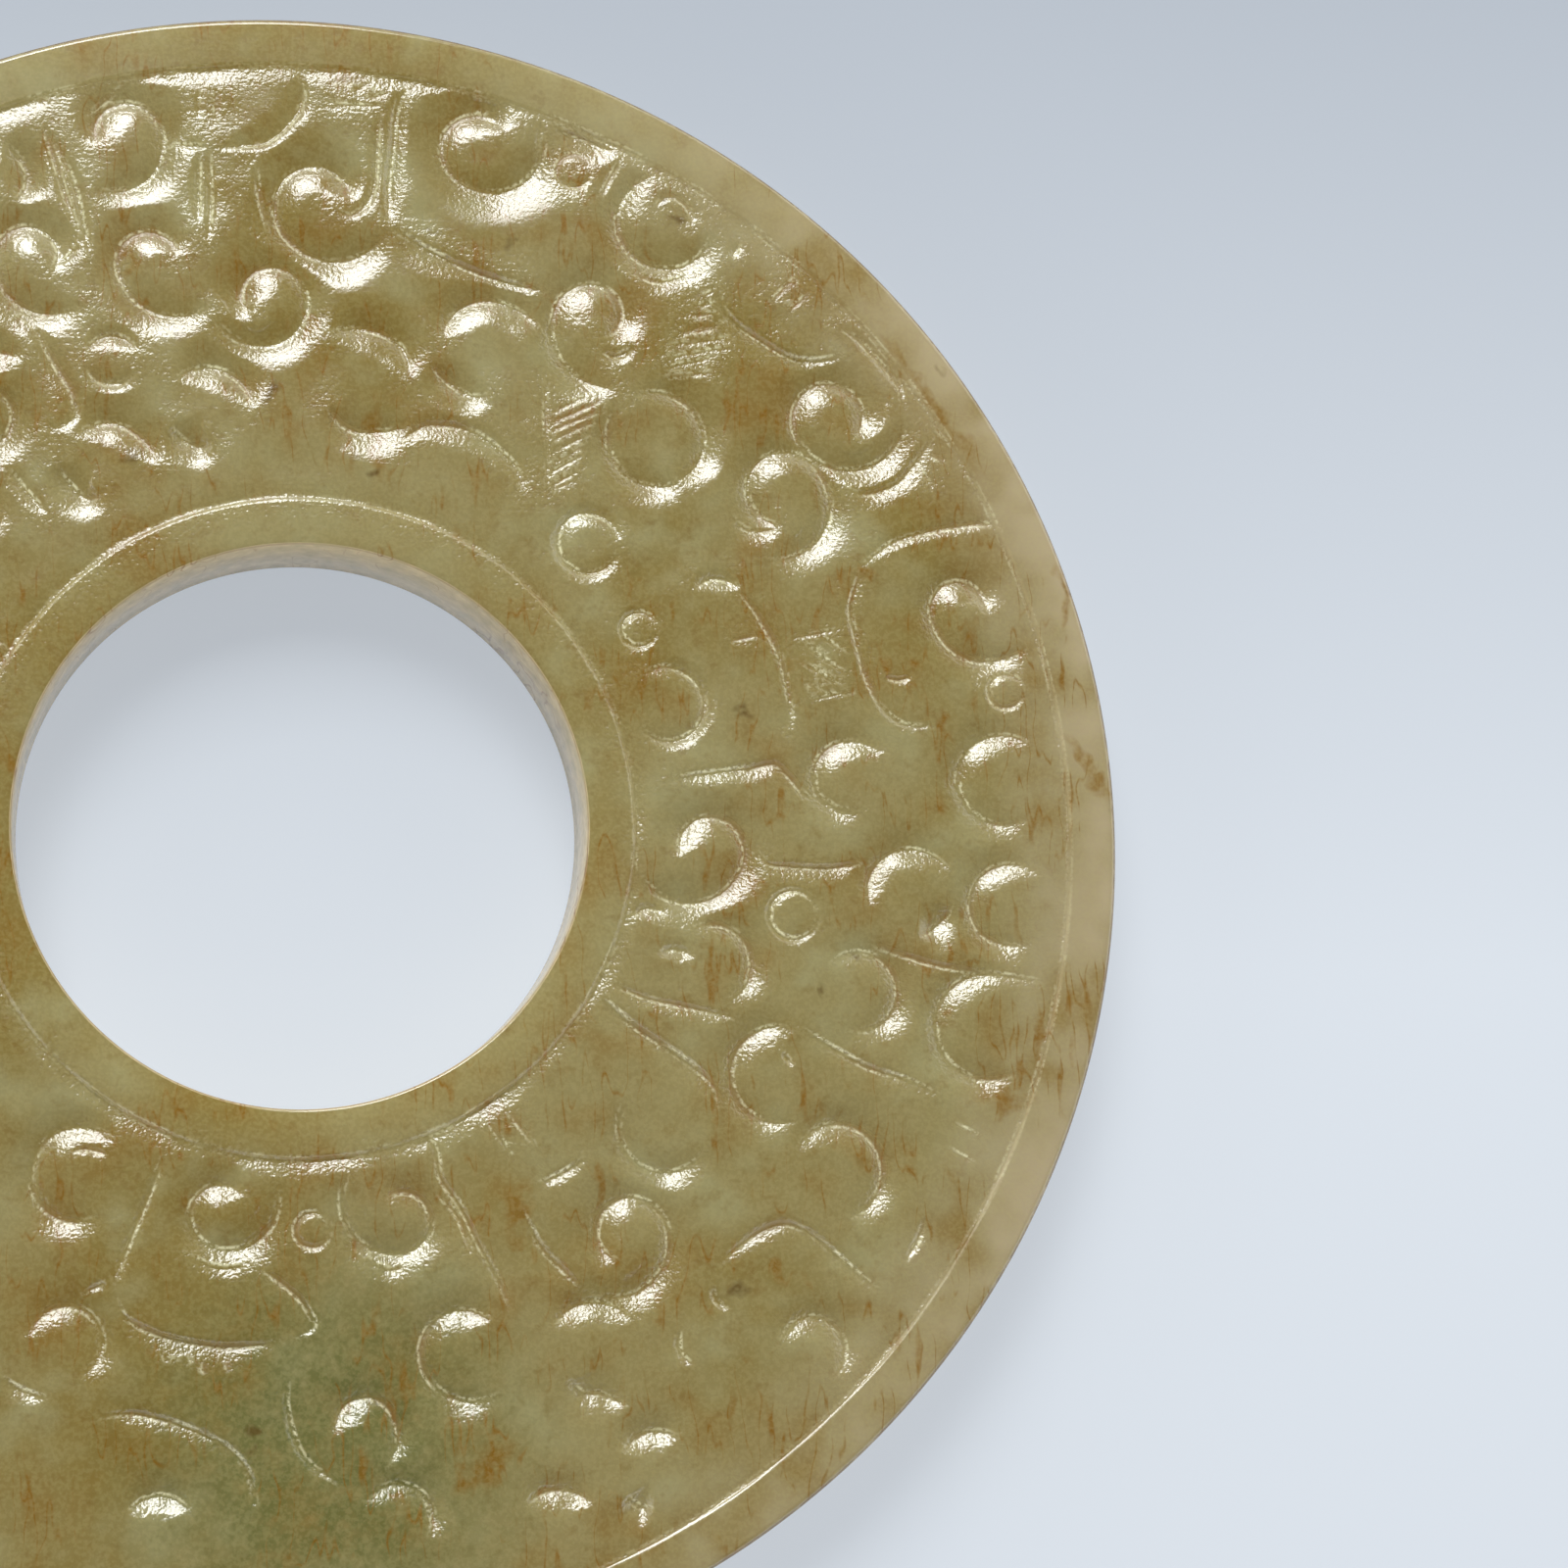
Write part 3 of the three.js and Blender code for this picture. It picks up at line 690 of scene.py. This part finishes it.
    body = stone.node(
        "BsdfPrincipled", {"subsurface_method": "BURLEY"},
        Base_Color=olive, Roughness=(mottle * 0.1 + worked * 0.04 + film * 0.25 + 0.13), Normal=bump,
        Subsurface_Weight=0.65, Subsurface_Radius=(1.0, 0.9, 0.6), Subsurface_Scale=0.004, IOR=1.62,
        Specular_IOR_Level=0.6,
    )
    out = stone.tree.nodes.new("ShaderNodeOutputMaterial")
    stone.tree.links.new(body.socket, out.inputs["Surface"])
    return stone.material


disc.data.materials.clear()
disc.data.materials.append(jade())
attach(disc, "root")
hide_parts("bi_disc")


# The disc lies on a pale ground, lit by one large soft light from beyond its top edge and by the
# walls of a pale room, which are brighter than its ceiling. The ground gives off a little light too,
# its colour and glow painted darker away from the camera and lighter towards it: painted light.
floor_mesh = bpy.data.meshes.new("ground")
bm = bmesh.new()
bmesh.ops.create_grid(bm, x_segments=1, y_segments=1, size=2.0)
bm.to_mesh(floor_mesh)
bm.free()
floor = bpy.data.objects.new("ground", floor_mesh)
floor.location.z = -0.0001
bpy.context.collection.objects.link(floor)
paper = Finish("pale_paper")
height = paper.node("SeparateXYZ", output=1, Vector=paper.node("TexCoord", output=3))
# Painted light: the ground's colour and glow run from darker far away to lighter near the camera.
painted_light_share = (0.9 - height * 11.0).kept()
painted_light_tone = paper.mix(painted_light_share, srgb(92, 97, 104), srgb(124, 128, 133))
surface = paper.node("BsdfPrincipled", Base_Color=painted_light_tone, Roughness=0.9, Emission_Color=painted_light_tone,
                     Emission_Strength=2.4)
paper_out = paper.tree.nodes.new("ShaderNodeOutputMaterial")
paper.tree.links.new(surface.socket, paper_out.inputs["Surface"])
floor_mesh.materials.append(paper.material)


def soft_light(name, place, size, power, colour):
    """A square soft light at a place, aimed at the middle of the disc."""
    data = bpy.data.lights.new(name, "AREA")
    data.size = size
    data.energy = power
    data.color = colour
    light = bpy.data.objects.new(name, data)
    light.location = place
    light.rotation_euler = Vector(place).to_track_quat("Z", "Y").to_euler()
    bpy.context.collection.objects.link(light)


soft_light("window", (-0.16, 0.785, 0.785), 0.55, 14.0, (0.98, 1.0, 0.99))
world = bpy.data.worlds.new("room")
world.use_nodes = True
room = world.node_tree
upward = room.nodes.new("ShaderNodeTexCoord")
parts = room.nodes.new("ShaderNodeSeparateXYZ")
room.links.new(upward.outputs["Generated"], parts.inputs[0])
walls = Value(room, parts.outputs[2]) * -5.0 + 2.9
walls = walls.kept() * 1.6 + 0.06
room.links.new(walls.socket, room.nodes["Background"].inputs["Strength"])
room.nodes["Background"].inputs["Color"].default_value = (0.95, 0.98, 1.0, 1.0)
bpy.context.scene.world = world
world.cycles.sampling_method = "NONE"
paper.material.cycles.emission_sampling = "NONE"
bpy.context.scene.view_settings.view_transform = "Standard"

# The camera looks down on the disc from about 14 degrees off its axis, close enough that the photo's
# left and bottom edges cut the disc off.
picture_pixels = 1600
focal_pixels = 3264
sensor_width = 36.0
tilt_about_x = math.radians(-8.90)
tilt_about_y = math.radians(11.23)
centre_in_view = Vector((-0.568, -0.046, -3.789)) * disc_radius * mm
turn_to_world = Matrix.Rotation(-tilt_about_x, 3, "X") @ Matrix.Rotation(-tilt_about_y, 3, "Y")
camera_data = bpy.data.cameras.new("camera")
camera_data.sensor_width = sensor_width
camera_data.lens = sensor_width * focal_pixels / picture_pixels
camera_data.clip_start = 0.01
camera = bpy.data.objects.new("camera", camera_data)
bpy.context.collection.objects.link(camera)
camera_place = Vector((0, 0, disc_thickness * mm)) - turn_to_world @ centre_in_view
camera.matrix_world = Matrix.Translation(camera_place) @ turn_to_world.to_4x4()
bpy.context.scene.camera = camera
